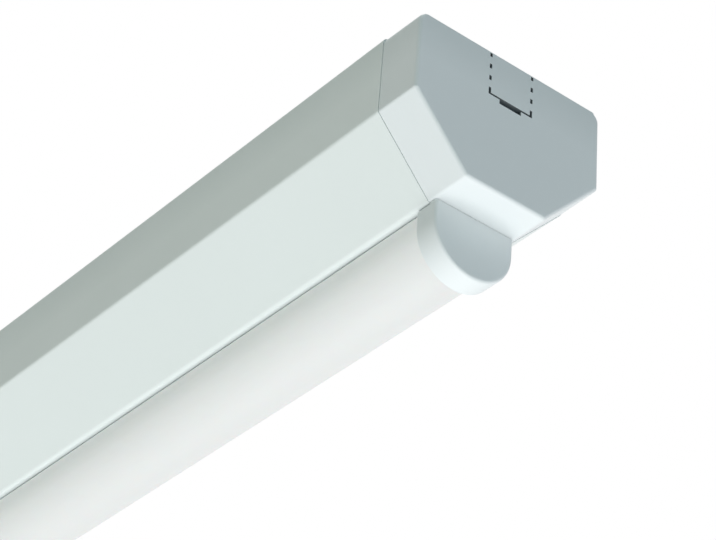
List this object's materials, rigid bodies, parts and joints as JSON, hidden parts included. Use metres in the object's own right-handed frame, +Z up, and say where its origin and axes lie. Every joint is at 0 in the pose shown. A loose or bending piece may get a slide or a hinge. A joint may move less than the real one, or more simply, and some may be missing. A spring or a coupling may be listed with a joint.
{
  "type": "led ceiling light",
  "caption": "Linear LED ceiling batten: folded steel tray with sloped sides, pull-off moulded end caps with a cable knock-out, and a U-shaped opal diffuser below.",
  "frame": {"origin": "middle of the ceiling plane, midway between the slots of the two ceiling clips", "axes": "+X along the light towards the end cap in the picture, +Y across it, +Z up into the ceiling"},
  "size_m": [0.6, 0.064, 0.0637],
  "materials": {
    "painted_steel": "white powder coat, satin",
    "white_moulding": "white polycarbonate, fine matt texture",
    "opal_diffuser": "opal polycarbonate, satin, translucent",
    "aluminium_rail": "extruded, mill finish",
    "led_board": "white solder mask on aluminium",
    "led_package": "moulded package",
    "led_phosphor": "yellow phosphor resin",
    "zinc_screw": "bright zinc plate",
    "driver_case": "moulded, fine matt texture",
    "circuit_board": "green solder mask",
    "ferrite": "sintered ferrite",
    "copper_winding": "enamelled copper",
    "capacitor_can": "sleeved can",
    "terminal_plastic": "moulded polyamide",
    "release_button": "moulded, orange",
    "contact_metal": "tinned copper alloy",
    "spring_steel": "bright spring steel",
    "clip_steel": "galvanised spring steel",
    "rubber": "black rubber",
    "nylon": "natural polyamide",
    "wire_brown": "brown insulation",
    "wire_blue": "blue insulation",
    "wire_green_yellow": "green and yellow insulation",
    "wire_red": "red insulation",
    "wire_black": "black insulation"
  },
  "bodies": {
    "light_body": {"housing": "painted_steel", "diffuser": "opal_diffuser", "diffuser_end_right": "white_moulding", "diffuser_end_left": "white_moulding", "diffuser_end_screws": "zinc_screw", "led_rail": "aluminium_rail", "rail_screws": "zinc_screw", "led_board_right": "led_board", "led_board_left": "led_board", "led_board_screws": "zinc_screw", "led_packages": "led_package", "led_phosphors": "led_phosphor", "led_board_link": "nylon", "led_input_connector": "nylon", "driver_base": "driver_case", "driver_cover": "driver_case", "driver_circuit_board": "circuit_board", "driver_transformer_core": "ferrite", "driver_transformer_winding": "copper_winding", "driver_capacitors": "capacitor_can", "driver_choke": "copper_winding", "driver_fuse": "wire_brown", "driver_input_terminal": "terminal_plastic", "driver_output_terminal": "terminal_plastic", "driver_screws": "zinc_screw", "terminal_base": "terminal_plastic", "terminal_body": "terminal_plastic", "terminal_contacts": "contact_metal", "terminal_springs": "spring_steel", "terminal_screw": "zinc_screw", "earth_lug": "contact_metal", "earth_washer": "spring_steel", "earth_screw": "zinc_screw", "floor_grommet": "rubber", "wire_live": "wire_brown", "wire_neutral": "wire_blue", "wire_earth": "wire_green_yellow", "wire_led_positive": "wire_red", "wire_led_negative": "wire_black", "wire_clips": "nylon"},
    "end_cap_right": {"end_cap_right": "white_moulding"},
    "end_cap_left": {"end_cap_left": "white_moulding"},
    "mounting_clip_right": {"mounting_clip_right": "clip_steel"},
    "mounting_clip_left": {"mounting_clip_left": "clip_steel"},
    "terminal_button_live": {"terminal_button_live": "release_button"},
    "terminal_button_neutral": {"terminal_button_neutral": "release_button"},
    "terminal_button_earth": {"terminal_button_earth": "release_button"}
  },
  "joints": [
    {"name": "end_cap_right_pull", "type": "slide", "parent": "light_body", "child": "end_cap_right", "axis": [1, 0, 0], "range_m": [0, 0.03]},
    {"name": "end_cap_left_pull", "type": "slide", "parent": "light_body", "child": "end_cap_left", "axis": [-1, 0, 0], "range_m": [0, 0.03]},
    {"name": "mounting_clip_right_slide", "type": "slide", "parent": "light_body", "child": "mounting_clip_right", "axis": [1, 0, 0], "range_m": [-0.12, 0.06]},
    {"name": "mounting_clip_left_slide", "type": "slide", "parent": "light_body", "child": "mounting_clip_left", "axis": [-1, 0, 0], "range_m": [-0.12, 0.06]},
    {"name": "terminal_button_live_press", "type": "slide", "parent": "light_body", "child": "terminal_button_live", "axis": [0, 0, -1], "range_m": [0, 0.0015], "stiffness_N_per_m": 1200, "springref_m": -0.0005},
    {"name": "terminal_button_neutral_press", "type": "slide", "parent": "light_body", "child": "terminal_button_neutral", "axis": [0, 0, -1], "range_m": [0, 0.0015], "stiffness_N_per_m": 1200, "springref_m": -0.0005},
    {"name": "terminal_button_earth_press", "type": "slide", "parent": "light_body", "child": "terminal_button_earth", "axis": [0, 0, -1], "range_m": [0, 0.0015], "stiffness_N_per_m": 1200, "springref_m": -0.0005}
  ]
}
